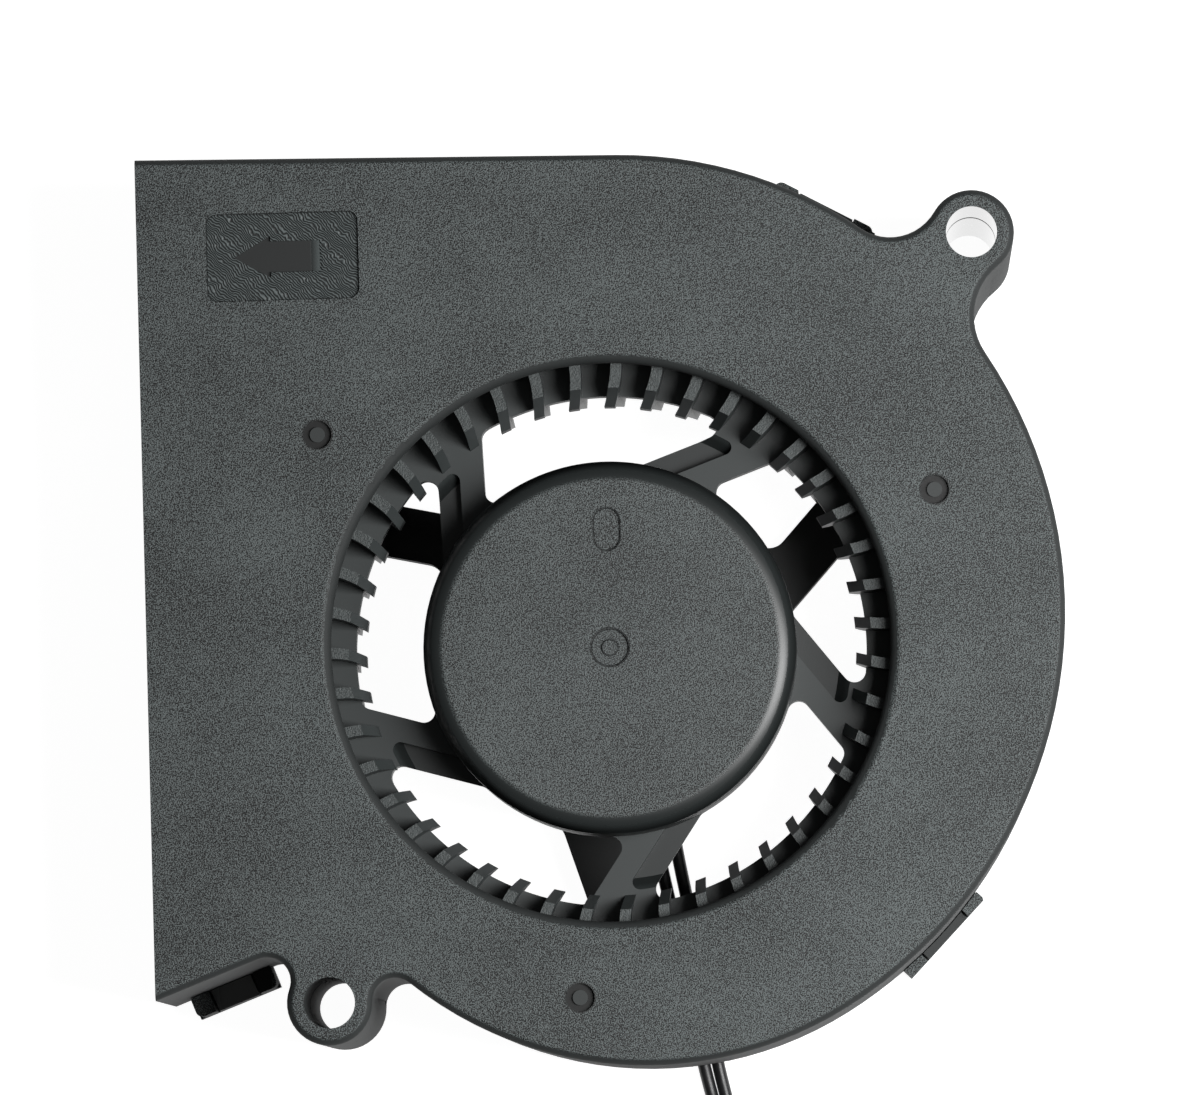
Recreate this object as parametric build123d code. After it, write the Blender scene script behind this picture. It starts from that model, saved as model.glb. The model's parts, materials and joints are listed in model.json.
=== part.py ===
from build123d import *
import math
import os

os.makedirs("parts", exist_ok=True)

# A centrifugal blower fan, in millimetres. The rotor turns about the Z axis. The rear
# mounting face is at Z = 0, the inlet looks along +Z and the outlet looks along -X.

# Casing, driving sizes
casing_depth = 33.0
casing_wall = 1.8
cover_skin = 1.8
plate_skin = 2.2
edge_round = 0.8
joint_gap = 0.1

# Outlet duct, measured on the outside of the casing
outlet_x = -48.8
duct_draft = 1.07
duct_low_y = -35.9
duct_floor_angle = 20.7

# Scroll wall: three arcs that run into each other, clockwise from the duct's top wall,
# each with its own room round the impeller
impeller_radius = 35.5
scroll_centre = Vector(1.256, 6.869)
scroll_room_1 = 9.7
scroll_room_2 = 13.6
scroll_room_3 = 4.4
scroll_sweep_1 = 34.5
scroll_sweep_2 = 113.8
cutoff_round = 1.5

# Mounting ears: the upper one stands off the scroll, the lower one off duct and scroll
upper_ear_angle = 43.984
upper_ear_stand = 7.065
lower_ear_stand = 7.12
lower_ear_reach = 7.18
ear_radius = 4.5
ear_hole = 2.7
ear_cover_depth = 12.6
ear_blend_duct_side = 5.4
ear_blend_scroll_side = 6.9
low_blend_scroll_side = 2.4
low_blend_duct_side = 2.5
ear_seam_bevel = 0.25

# Inlets
inlet_centre = Vector(0.1, 0.6)
inlet_radius = 29.5
inlet_lip = 1.1
rear_centre = Vector(-0.5, 1.0)
rear_radius = 29.8

# Marks of the moulding on the front
panel_inset = (15.4, 9.8)
panel_size = (16.1, 9.3)
panel_corner = 1.1
panel_depth = 0.3
arrow_inset = 0.45
arrow_length = 9.4
arrow_head = 3.9
arrow_head_width = 4.45
arrow_shaft_width = 3.3
arrow_depth = 0.3
arrow_ramp = 1.2
dimple_places = (Vector(-30.2, 23.3), Vector(34.7, 15.6), Vector(-4.1, -36.8))
dimple_radius = 1.5
dimple_boss = 0.8
dimple_depth = 0.5
dimple_drop = 0.2

# Snap clips: place along the wall, how far they stand out
clip_height = 7.0
clip_slot = 0.25
clip_guard_upper = 2.5
clip_guard_low = 2.1
clip_tongue_top = 6.3
clip_tongue_side = 6.0
clip_tongue_low = 4.6
clip_reach_top = 2.4
clip_reach_side = 0.9
clip_reach_low = 2.4
clip_angle_top = 61.2
clip_angle_side = -44.0
clip_low_along = 6.75
clip_ramp = 2.2
barb_low = 4.3
barb_high = 5.7
barb_reach = 0.4
barb_play = 0.15

# Struts and motor base of the rear housing
strut_count = 3
strut_angle = 47.8
strut_offset = 8.75
strut_width = 5.6
strut_height = 3.4
strut_centre = Vector(-0.2, 0.8)
strut_root_round = 2.0
base_flange_radius = 19.6
base_radius = 17.3
base_skin = 2.0
base_rim = 0.9
base_rim_top = 5.4
collar_radius = 6.8
collar_top = 4.6
rib_height = 1.5
rib_thickness = 1.2
lead_slot_width = 3.8
lead_slot_depth = 1.7
notch_width = 4.4
notch_floor = 2.4

# Impeller, with its heights measured down from the casing's front and up from its plate
hub_wall = 1.85
hub_drop = 1.0
hub_skin = 1.1
hub_round = 0.9
skirt_wall = 0.75
skirt_drop = 7.0
web_drop = 8.0
web_thickness = 1.4
web_inner = 27.07
blade_count = 43
blade_thickness = 1.15
blade_start_angle = -3.3
blade_tip = 25.97
blade_tip_lead = 1.1
blade_free_inner = 27.6
blade_middle_inset = 4.5
blade_middle_lag = 1.45
blade_lead = 1.0
blade_gap_top = 1.0
blade_gap_low = 1.5
blade_ring = 1.2
spoke_count = 5
spoke_angle = 20.0
spoke_near = 12.35
spoke_step = 14.9
spoke_far = 17.28
spoke_thickness = 2.6
spoke_recess = 1.5
recess_end = 25.5
recess_slope = 1.3
recess_corner = 0.8
window_round = 1.2
mark_radius = 2.0
mark_boss = 0.85
mark_depth = 0.25
mark_boss_drop = 0.1
slot_mark_depth = 0.2
slot_mark = (2.8, 4.5)
slot_mark_y = 12.5

# Motor
yoke_radius = 17.85
yoke_wall = 0.9
yoke_low = 7.6
magnet_wall = 1.4
magnet_low = 8.4
magnet_drop = 5.48
air_gap = 0.4
pole_count = 4
pole_gap = 12.0
pole_tip = 1.5
core_low = 11.0
core_drop = 2.4
core_hub = 7.4
arm_width = 4.6
insulator_thickness = 0.8
coil_thickness = 1.7
tube_radius = 4.9
tube_low = 1.2
tube_stand = 0.1
shaft_radius = 1.5
shaft_low = 2.6
bush_radius = 3.4
bush_height = 3.48
push_gap = 0.02

# Ball bearings, 3 x 8 x 4 mm
bearing_outer = 4.0
bearing_width = 4.0
inner_ring_wall = 0.72
outer_ring_wall = 0.75
ball_count = 7
ball_radius = 0.72
ball_play = 0.04
rear_bearing_z = 4.2
clip_ring = 0.4
clip_ring_radius = 2.7
washer_radius = 2.1
washer_height = 1.1
cap_thickness = 1.0

# Circuit board and what is soldered to it
board_thickness = 1.0
board_play = 0.4
board_bore_play = 0.4
pin_radius = 0.3
pin_circle = 7.4

# Lead wires, their coil and their connector
wire_radius = 0.7
coil_centre = Vector(4.3, -61.4)
coil_turn_radius = 7.4
coil_width = 4.2
coil_height = 2.8
coil_lift = 0.4
tie_thickness = 0.4
tie_width = 1.6
tie_play = 0.1
tie_angle = 135.0
plug_size = (12.0, 7.4, 5.8)
plug_back = Vector(-10.0, -70.6)
plug_pitch = 2.5
plug_latch = (6.0, 2.4, 0.8)
plug_cavity = (8.0, 1.7, 1.9)
wire_1_route = (
    (5.2, -14.2, 3.3),
    (5.65, -18.6, 3.2),
    (6.3, -22.6, 2.1),
    (7.1, -27.0, 1.0),
    (7.85, -32.0, 0.85),
    (8.75, -37.6, 0.86),
    (9.62, -43.4, 0.85),
    (10.85, -48.8, 0.8),
    (12.27, -56.23, 1.1),
)
wire_2_route = (
    (3.2, -14.4, 3.3),
    (3.65, -18.8, 3.2),
    (4.35, -22.8, 2.1),
    (5.25, -27.2, 1.0),
    (6.05, -32.1, 0.85),
    (7.1, -37.7, 0.86),
    (8.12, -43.5, 0.85),
    (9.42, -49.0, 0.8),
    (10.45, -52.0, 2.3),
    (11.52, -55.22, 3.95),
)
tail_1_route = (
    (0.72, -70.2, 2.5),
    (-3.9, -70.05, 2.6),
    (-8.5, -69.5, 2.85),
    (-12.9, -69.35, 2.9),
)
tail_2_route = (
    (0.72, -70.2, 5.3),
    (-3.7, -70.6, 4.7),
    (-8.4, -71.84, 2.93),
    (-12.9, -71.85, 2.9),
)


# Small helpers
def direction(angle):
    """Unit vector in plan at an angle in degrees."""
    return Vector(math.cos(math.radians(angle)), math.sin(math.radians(angle)))


def bearing_of(centre, point):
    """Angle in degrees of the line from one point to another."""
    step = point - centre
    return math.degrees(math.atan2(step.Y, step.X))


def arc_about(centre, start, end, clockwise):
    """Arc round a centre from one point to another."""
    first = bearing_of(centre, start)
    sweep = (bearing_of(centre, end) - first) % 360
    if clockwise:
        sweep = sweep - 360
    middle = centre + direction(first + sweep / 2) * (start - centre).length
    return ThreePointArc(start, middle, end)


def prism(face, low, high):
    """A plan face carried from one height to another."""
    return Pos(0, 0, low) * extrude(face, high - low, dir=(0, 0, 1))


def ring(outer, inner, low, high):
    """Round ring between two heights."""
    return prism(Circle(outer) - Circle(inner), low, high)


def disc(radius, low, high):
    """Round disc between two heights."""
    return prism(Circle(radius), low, high)


def at(place):
    """Location of a plan point."""
    return Pos(place.X, place.Y, 0)


# Centres and joints of the scroll's arcs
scroll_radius_1 = impeller_radius + scroll_room_1
scroll_radius_2 = impeller_radius + scroll_room_2
scroll_radius_3 = impeller_radius + scroll_room_3
first_angle = 90 - duct_draft
second_angle = first_angle - scroll_sweep_1
third_angle = second_angle - scroll_sweep_2
centre_1 = scroll_centre
centre_2 = centre_1 + direction(second_angle) * (scroll_radius_1 - scroll_radius_2)
centre_3 = centre_2 + direction(third_angle) * (scroll_radius_2 - scroll_radius_3)

# The duct's top wall leaves the first arc, and its lower wall starts at the foot
scroll_start = centre_1 + direction(first_angle) * scroll_radius_1
duct_top_y = scroll_start.Y + scroll_start.X * math.tan(math.radians(duct_draft))
duct_foot = Vector(outlet_x, duct_low_y)
duct_along = direction(duct_floor_angle)
duct_out = direction(duct_floor_angle - 90)

# Places of the ears and of the panel
upper_ear = centre_2 + direction(upper_ear_angle) * (scroll_radius_2 + upper_ear_stand)
ear_line = duct_foot + duct_out * lower_ear_stand
ear_below = (ear_line - centre_3).dot(duct_out)
ear_before = math.sqrt((scroll_radius_3 + lower_ear_reach) ** 2 - ear_below**2)
lower_ear = ear_line + duct_along * ((centre_3 - ear_line).dot(duct_along) - ear_before)
panel_centre = Vector(outlet_x + panel_inset[0], duct_top_y - panel_inset[1])
print("ears", upper_ear, lower_ear, "duct top", round(duct_top_y, 3))

# Heights of the rotor, from the casing's front inwards
hub_top = casing_depth - hub_drop
web_top = casing_depth - web_drop
hub_low = web_top - skirt_drop
blade_top = casing_depth - cover_skin - blade_gap_top
blade_bottom = plate_skin + blade_gap_low
yoke_top = hub_top - hub_skin - push_gap
magnet_top = yoke_top - magnet_drop
bush_low = yoke_top - bush_height
front_bearing_z = bush_low - washer_height - bearing_width
tube_top = front_bearing_z + bearing_width + tube_stand
core_top = magnet_top - core_drop

# Radii of the rotor, from the yoke outwards
skirt_radius = yoke_radius + skirt_wall
hub_radius = yoke_radius + hub_wall
web_outer = impeller_radius
blade_middle = impeller_radius - blade_middle_inset


def duct_top_point(x, grow):
    """Point on the duct's top wall, moved out of the casing by grow."""
    slope = math.radians(duct_draft)
    return Vector(x, duct_top_y - x * math.tan(slope) + grow / math.cos(slope))


def duct_low_point(x, grow):
    """Point on the duct's sloping lower wall, moved out of the casing by grow."""
    slope = math.radians(duct_floor_angle)
    return Vector(x, duct_low_y + (x - outlet_x) * math.tan(slope) - grow / math.cos(slope))


def blend_centre(ear, ear_size, centre, radius, blend, side):
    """Centre of a blend that touches an ear and a scroll arc from outside."""
    to_ear = ear_size + blend
    to_arc = radius + blend
    span = (centre - ear).length
    turn = math.degrees(math.acos((to_ear**2 + span**2 - to_arc**2) / (2 * to_ear * span)))
    return ear + direction(bearing_of(ear, centre) + side * turn) * to_ear


def touch(centre, other, radius):
    """Where a circle of this radius is touched on the side of another centre."""
    return centre + direction(bearing_of(centre, other)) * radius


def casing_face(grow=0.0):
    """Outline of the casing with its two ears, moved outwards by grow."""
    ear_size = ear_radius + grow
    radius_1 = scroll_radius_1 + grow
    radius_2 = scroll_radius_2 + grow
    radius_3 = scroll_radius_3 + grow
    start = centre_1 + direction(first_angle) * radius_1
    joint_23 = centre_2 + direction(third_angle) * radius_2

    blend = ear_blend_duct_side - grow
    hollow_1 = blend_centre(upper_ear, ear_size, centre_1, radius_1, blend, -1)
    scroll_1 = touch(centre_1, hollow_1, radius_1)
    ear_1 = touch(upper_ear, hollow_1, ear_size)

    blend = ear_blend_scroll_side - grow
    hollow_2 = blend_centre(upper_ear, ear_size, centre_2, radius_2, blend, 1)
    ear_2 = touch(upper_ear, hollow_2, ear_size)
    scroll_2 = touch(centre_2, hollow_2, radius_2)

    blend = low_blend_scroll_side - grow
    hollow_3 = blend_centre(lower_ear, ear_size, centre_3, radius_3, blend, -1)
    scroll_3 = touch(centre_3, hollow_3, radius_3)
    ear_3 = touch(lower_ear, hollow_3, ear_size)

    blend = low_blend_duct_side - grow
    wall = duct_foot + duct_out * grow
    along = (lower_ear - wall).dot(duct_along)
    below = (lower_ear - wall).dot(duct_out)
    along = along - math.sqrt((ear_size + blend) ** 2 - (below - blend) ** 2)
    hollow_4 = wall + duct_along * along + duct_out * blend
    ear_4 = touch(lower_ear, hollow_4, ear_size)
    wall_4 = wall + duct_along * along

    top = duct_top_point(outlet_x, grow)
    low = duct_low_point(outlet_x, grow)
    return Face(Wire([
        Line(top, start),
        arc_about(centre_1, start, scroll_1, True),
        arc_about(hollow_1, scroll_1, ear_1, False),
        arc_about(upper_ear, ear_1, ear_2, True),
        arc_about(hollow_2, ear_2, scroll_2, False),
        arc_about(centre_2, scroll_2, joint_23, True),
        arc_about(centre_3, joint_23, scroll_3, True),
        arc_about(hollow_3, scroll_3, ear_3, False),
        arc_about(lower_ear, ear_3, ear_4, True),
        arc_about(hollow_4, ear_4, wall_4, False),
        Line(wall_4, low),
        Line(low, top),
    ]))


def cavity_face(inset, end_x):
    """The air passage in plan, inset from the outside of the casing, from end_x on."""
    radius_1 = scroll_radius_1 - inset
    radius_2 = scroll_radius_2 - inset
    radius_3 = scroll_radius_3 - inset
    nose = cutoff_round + inset - casing_wall
    start = centre_1 + direction(first_angle) * radius_1
    joint_12 = centre_1 + direction(second_angle) * radius_1
    joint_23 = centre_2 + direction(third_angle) * radius_2
    wall = duct_foot - duct_out * inset
    along = (centre_3 - wall).dot(duct_along)
    below = (centre_3 - wall).dot(duct_out)
    along = along - math.sqrt((radius_3 + nose) ** 2 - (nose - below) ** 2)
    nose_centre = wall + duct_along * along + duct_out * nose
    nose_scroll = touch(centre_3, nose_centre, radius_3)
    nose_duct = nose_centre - duct_out * nose
    top = duct_top_point(end_x, -inset)
    low = duct_low_point(end_x, -inset)
    return Face(Wire([
        Line(top, start),
        arc_about(centre_1, start, joint_12, True),
        arc_about(centre_2, joint_12, joint_23, True),
        arc_about(centre_3, joint_23, nose_scroll, True),
        arc_about(nose_centre, nose_scroll, nose_duct, False),
        Line(nose_duct, low),
        Line(low, top),
    ]))


def clip_places():
    """Each clip: location with Y out of the wall, reach, width of the tongue and of a guard."""
    top = centre_1 + direction(clip_angle_top) * scroll_radius_1
    side = centre_2 + direction(clip_angle_side) * scroll_radius_2
    low = duct_foot + duct_along * clip_low_along
    return (
        (Pos(top.X, top.Y, 0) * Rot(0, 0, clip_angle_top - 90),
         clip_reach_top, clip_tongue_top, clip_guard_upper),
        (Pos(side.X, side.Y, 0) * Rot(0, 0, clip_angle_side - 90),
         clip_reach_side, clip_tongue_side, clip_guard_upper),
        (Pos(low.X, low.Y, 0) * Rot(0, 0, duct_floor_angle - 180),
         clip_reach_low, clip_tongue_low, clip_guard_low),
    )


def clip_solids(place, reach, tongue_width, guard_width):
    """Two guard blocks and the snap tongue between them, rising from the rear plate."""
    root = 2 * casing_wall
    width = tongue_width + 2 * (clip_slot + guard_width)
    foot = Pos(0, (reach - root) / 2, plate_skin / 2) * Box(width, reach + root, plate_skin)
    shapes = [foot]
    middle = tongue_width / 2 + clip_slot + guard_width / 2
    for side in (-1, 1):
        guard = Pos(side * middle, (reach - root) / 2, clip_height / 2)
        block = guard * Box(guard_width, reach + root, clip_height)
        corner = block.edges().filter_by(Axis.Z).sort_by(Axis.Y)[-2:]
        block = fillet(corner.sort_by(Axis.X)[-1 if side > 0 else 0], min(guard_width, reach) * 0.35)
        shapes.append(block)
    profile = Polyline(
        (-root, 0), (reach, 0), (reach, clip_height - clip_ramp), (0, clip_height), (-root, clip_height),
        close=True,
    )
    tongue = extrude(Plane.YZ * make_face(profile), tongue_width / 2, both=True)
    shapes.append(tongue)
    return [place * shape for shape in shapes]


def barb_prism(place, tongue_width, reach, play):
    """The catch on the inside of a snap tongue, or its pocket when play is added."""
    profile = Polyline(
        (0.3, barb_low - play), (-reach, barb_low - play),
        (-reach, barb_low + 0.4 * (barb_high - barb_low) + play), (0.3, barb_high + 1.6 * play),
        close=True,
    )
    half = tongue_width / 2 - clip_slot + play
    return place * extrude(Plane.YZ * make_face(profile), half, both=True)


def arrow_pocket():
    """Sunk arrow towards the outlet; its floor ramps up at the blunt end."""
    floor = casing_depth - panel_depth - arrow_depth
    brim = casing_depth - panel_depth
    above = casing_depth + 1
    tip_x = -arrow_length / 2 - arrow_inset
    head_x = tip_x + arrow_head
    end_x = tip_x + arrow_length
    outline = Polyline(
        (tip_x, 0),
        (head_x, arrow_head_width / 2),
        (head_x, arrow_shaft_width / 2),
        (end_x - arrow_ramp, arrow_shaft_width / 2),
        (end_x - arrow_ramp, -arrow_shaft_width / 2),
        (head_x, -arrow_shaft_width / 2),
        (head_x, -arrow_head_width / 2),
        close=True,
    )
    ramp = Polyline(
        (end_x - arrow_ramp, floor),
        (end_x, brim),
        (end_x, above),
        (end_x - arrow_ramp, above),
        close=True,
    )
    end = extrude(Plane.XZ * make_face(ramp), arrow_shaft_width / 2, both=True)
    return prism(make_face(outline), floor, above) + end


def make_front_cover():
    """Front shell: cover plate, scroll wall, inlet lip, ears and moulding marks."""
    shell = prism(casing_face(), plate_skin, casing_depth)
    rim = shell.edges().filter_by(lambda e: e.center().Z > casing_depth - 0.01 and e.center().X > outlet_x + 0.01)
    shell = fillet(rim, edge_round)
    shell -= prism(cavity_face(casing_wall, outlet_x - 1), plate_skin - 1, casing_depth - cover_skin)
    shell -= at(inlet_centre) * disc(inlet_radius, 0, casing_depth + 1)
    lip = shell.edges().filter_by(GeomType.CIRCLE).filter_by(
        lambda e: abs(e.radius - inlet_radius) < 0.01 and e.center().Z > casing_depth - 0.01)
    shell = fillet(lip, inlet_lip)
    seam = casing_depth - ear_cover_depth
    for ear in (upper_ear, lower_ear):
        shell -= at(ear) * disc(ear_radius + joint_gap, 0, seam)
        shell -= at(ear) * disc(ear_hole, 0, casing_depth + 1)
        shell -= at(ear) * Pos(0, 0, seam) * Cone(
            ear_hole + ear_seam_bevel, ear_hole, ear_seam_bevel, align=(Align.CENTER, Align.CENTER, Align.MIN))
    for place, _, tongue_width, _ in clip_places():
        shell -= barb_prism(place, tongue_width, barb_reach + barb_play, barb_play)
    panel = RectangleRounded(panel_size[0], panel_size[1], panel_corner)
    shell -= at(panel_centre) * prism(panel, casing_depth - panel_depth, casing_depth + 1)
    shell -= at(panel_centre) * arrow_pocket()
    for spot in dimple_places:
        shell -= at(spot) * ring(dimple_radius, dimple_boss, casing_depth - dimple_depth, casing_depth + 1)
        shell -= at(spot) * disc(dimple_boss, casing_depth - dimple_drop, casing_depth + 1)
    return shell


def strut_bar(index):
    """One strut between the motor base and the rear plate, skewed past the centre."""
    angle = strut_angle + index * 360 / strut_count
    length = rear_radius + strut_width
    bar = Pos(length / 2, -strut_offset) * Rectangle(length, strut_width)
    return at(strut_centre) * Rot(0, 0, angle) * bar


def make_rear_housing():
    """Rear plate with its inlet, struts, motor base, ear pillars, clips and locating rib."""
    plate = casing_face() - at(rear_centre) * Circle(rear_radius)
    body = prism(plate, 0, plate_skin)
    reach = at(rear_centre) * Circle(rear_radius + casing_wall)
    spider = at(rear_centre) * Circle(base_flange_radius)
    for index in range(strut_count):
        spider += strut_bar(index) & reach
    roots = spider.vertices().filter_by(
        lambda v: abs(math.hypot(v.X - rear_centre.X, v.Y - rear_centre.Y) - base_flange_radius) < 0.01)
    spider = fillet(roots, strut_root_round)
    body += prism(spider, 0, strut_height)
    body += disc(base_radius, 0, base_rim_top)
    rib = cavity_face(casing_wall + joint_gap, outlet_x + 3) - cavity_face(
        casing_wall + joint_gap + rib_thickness, outlet_x)
    body += prism(rib, 0, plate_skin + rib_height)
    pocket = ring(base_radius - base_rim, collar_radius, base_skin, base_rim_top + 1)
    body -= pocket
    body -= disc(collar_radius, collar_top, base_rim_top + 1)
    body -= disc(tube_radius + push_gap, -1, base_rim_top)
    seam = casing_depth - ear_cover_depth
    outer = prism(casing_face(joint_gap), plate_skin, casing_depth)
    for place, stand, tongue_width, guard_width in clip_places():
        clip = clip_solids(place, stand, tongue_width, guard_width)
        body += [piece - outer for piece in clip]
        body += barb_prism(place, tongue_width, barb_reach, 0)
    for ear in (upper_ear, lower_ear):
        body += at(ear) * disc(ear_radius, 0, seam)
        body -= at(ear) * disc(ear_hole, -1, seam + 1)
        body -= at(ear) * Pos(0, 0, seam) * Cone(
            ear_hole, ear_hole + ear_seam_bevel, ear_seam_bevel, align=(Align.CENTER, Align.CENTER, Align.MAX))
    start = Vector(*wire_1_route[3]) + Vector(*wire_2_route[3])
    end = Vector(*wire_1_route[6]) + Vector(*wire_2_route[6])
    along = Vector(end.X - start.X, end.Y - start.Y).normalized()
    middle = Vector(end.X / 2, end.Y / 2)
    length = 2 * casing_depth
    slot = at(middle) * Rot(0, 0, bearing_of(Vector(0, 0), along)) * Pos(-length / 2 + 5, 0)
    keep = Circle(rear_radius - 3)
    groove = slot * Rectangle(length, lead_slot_width) - keep
    body -= prism(groove, -1, lead_slot_depth)
    notch_x = (wire_1_route[1][0] + wire_2_route[1][0]) / 2
    notch = Pos(notch_x, -base_radius) * Rectangle(notch_width, 2 * notch_width)
    body -= prism(notch, notch_floor, base_rim_top + 1)
    return body


def blade_face():
    """Plan of one blade: a thin curved strip, hollow towards the rotation."""
    inner = direction(blade_tip_lead) * (blade_tip - 1)
    middle = direction(-blade_middle_lag) * blade_middle
    outer = direction(blade_lead) * web_outer
    chord = (outer - inner).normalized()
    across = Vector(-chord.Y, chord.X) * (blade_thickness / 2)
    sides = []
    for sign in (1, -1):
        sides.append(ThreePointArc(inner + across * sign, middle + across * sign, outer + across * sign))
    strip = Face(Wire([
        sides[0],
        Line(sides[0] @ 1, sides[1] @ 1),
        sides[1],
        Line(sides[1] @ 0, sides[0] @ 0),
    ]))
    return strip - Circle(blade_tip)


def make_impeller():
    """Hub cup, skewed two-level spokes, web and forward-curved blades, moulded as one."""
    window = Circle(web_outer) - Circle(web_inner)
    spokes = []
    for index in range(spoke_count):
        turn = Rot(0, 0, spoke_angle + index * 360 / spoke_count)
        bar = Pos(web_inner / 2, (spoke_near + spoke_far) / 2) * Rectangle(web_inner, spoke_far - spoke_near)
        spokes.append(turn * bar)
    plan = Circle(hub_radius) + spokes
    plan = (plan & Circle(web_inner + 1)) + window
    corners = plan.vertices().filter_by(
        lambda v: hub_radius - 0.1 < math.hypot(v.X, v.Y) < web_inner + 0.1)
    plan = fillet(corners, window_round)
    body = prism(plan & Circle(web_inner + 0.5), web_top - spoke_thickness, web_top)
    body += ring(web_outer, web_inner, web_top - web_thickness, web_top)
    recess = []
    for index in range(spoke_count):
        turn = Rot(0, 0, spoke_angle + index * 360 / spoke_count)
        width = spoke_far - spoke_step + 2 * window_round
        strip = Pos(web_inner / 2, spoke_step + width / 2) * Rectangle(web_inner, width)
        recess.append(turn * strip)
    lane = (Circle(recess_end) - Circle(hub_radius)) & (Sketch() + recess)
    ends = lane.vertices().filter_by(lambda v: abs(math.hypot(v.X, v.Y) - recess_end) < 0.01)
    lane = fillet(ends, recess_corner)
    bowl = Cone(recess_end - recess_slope, recess_end, spoke_recess, align=(Align.CENTER, Align.CENTER, Align.MIN))
    body -= prism(lane, web_top - spoke_recess, web_top) & Pos(0, 0, web_top - spoke_recess) * bowl

    blade = blade_face()
    pitch = 360 / blade_count
    blades = [
        Rot(0, 0, blade_start_angle + index * pitch) * prism(blade, blade_bottom, blade_top)
        for index in range(blade_count)
    ]
    body += blades
    taper = Polyline(
        (hub_radius + 1, blade_top + 1), (blade_free_inner, blade_top + 1), (blade_free_inner, blade_top),
        (blade_tip, web_top), (hub_radius + 1, web_top), close=True)
    body -= revolve(Plane.XZ * make_face(taper), Axis.Z)
    low = web_top - web_thickness
    taper = Polyline(
        (hub_radius + 1, blade_bottom - 1), (blade_free_inner, blade_bottom - 1),
        (blade_free_inner, blade_bottom), (web_inner, low), (web_inner, web_top - spoke_thickness),
        (hub_radius + 1, web_top - spoke_thickness), close=True)
    body -= revolve(Plane.XZ * make_face(taper), Axis.Z)
    body -= ring(web_outer + 2, web_outer, blade_bottom - 1, blade_top + 1)
    body += ring(web_outer, web_outer - blade_ring, blade_top - blade_ring, blade_top)
    body += ring(web_outer, web_outer - blade_ring, blade_bottom, blade_bottom + blade_ring)

    hub = disc(hub_radius, web_top - spoke_thickness, hub_top)
    hub = fillet(hub.edges().filter_by(GeomType.CIRCLE).sort_by(Axis.Z)[-1], hub_round)
    body += hub
    body += disc(skirt_radius, hub_low, web_top)
    body -= disc(yoke_radius + push_gap, hub_low - 1, hub_top - hub_skin)
    body -= ring(mark_radius, mark_boss, hub_top - mark_depth, hub_top + 1)
    body -= disc(mark_boss, hub_top - mark_boss_drop, hub_top + 1)
    oval = SlotOverall(slot_mark[1], slot_mark[0], rotation=90)
    body -= Pos(0, slot_mark_y, 0) * prism(oval, hub_top - slot_mark_depth, hub_top + 1)
    return body


# Rotor
yoke_inner = yoke_radius - yoke_wall
magnet_outer = yoke_inner - push_gap
magnet_inner = magnet_outer - magnet_wall
core_radius = magnet_inner - air_gap


def make_yoke():
    """Deep-drawn steel cup inside the hub, with a hole for the shaft bush."""
    cup = disc(yoke_radius, yoke_low, yoke_top)
    cup = fillet(cup.edges().filter_by(GeomType.CIRCLE).sort_by(Axis.Z)[-1], yoke_wall / 2)
    cup -= disc(yoke_inner, yoke_low - 1, yoke_top - yoke_wall)
    cup -= disc(bush_radius + push_gap, yoke_low, yoke_top + 1)
    return cup


def make_magnet():
    """Ferrite ring pressed into the yoke."""
    return ring(magnet_outer, magnet_inner, magnet_low, magnet_top)


def make_bush():
    """Turned bush that carries the shaft in the yoke, with a shoulder under it."""
    flange = yoke_top - yoke_wall - push_gap
    bush = disc(bush_radius, bush_low, yoke_top)
    bush += disc(bush_radius + 1.2, flange - 1.0, flange)
    return bush - disc(shaft_radius + push_gap, bush_low - 1, yoke_top + 1)


def make_shaft():
    """Ground shaft with a groove for the retaining clip and bevelled ends."""
    top = yoke_top - 0.1
    shaft = disc(shaft_radius, shaft_low, top)
    shaft = chamfer(shaft.edges().filter_by(GeomType.CIRCLE), 0.2)
    groove_low = rear_bearing_z - clip_ring - push_gap
    return shaft - ring(shaft_radius + 1, shaft_radius - 0.3, groove_low - 0.02, groove_low + clip_ring + 0.02)


def bearing_parts(low):
    """Outer ring, inner ring and balls of one bearing that starts at this height."""
    outer = bearing_outer - push_gap
    race = (shaft_radius + inner_ring_wall + bearing_outer - outer_ring_wall) / 2
    groove = Pos(0, 0, low + bearing_width / 2) * Torus(race, ball_radius + ball_play)
    outer_ring = ring(outer, bearing_outer - outer_ring_wall, low, low + bearing_width) - groove
    inner_ring = ring(
        shaft_radius + push_gap + inner_ring_wall, shaft_radius + push_gap, low, low + bearing_width) - groove
    balls = []
    for index in range(ball_count):
        spot = direction(index * 360 / ball_count) * race
        balls.append(Pos(spot.X, spot.Y, low + bearing_width / 2) * Sphere(ball_radius))
    return outer_ring, inner_ring, Compound(children=balls)


def make_retaining_clip():
    """Open ring in the shaft's groove, under the rear bearing."""
    low = rear_bearing_z - clip_ring - push_gap
    clip = ring(clip_ring_radius, shaft_radius - 0.3 + push_gap, low, low + clip_ring)
    mouth = Pos(clip_ring_radius, 0) * Rectangle(2 * clip_ring_radius, shaft_radius * 1.6)
    return clip - prism(mouth, low - 1, low + 1)


def make_washer():
    """Spring washer that loads the front bearing's inner ring from the bush."""
    return ring(washer_radius, shaft_radius + push_gap, front_bearing_z + bearing_width, bush_low)


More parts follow.
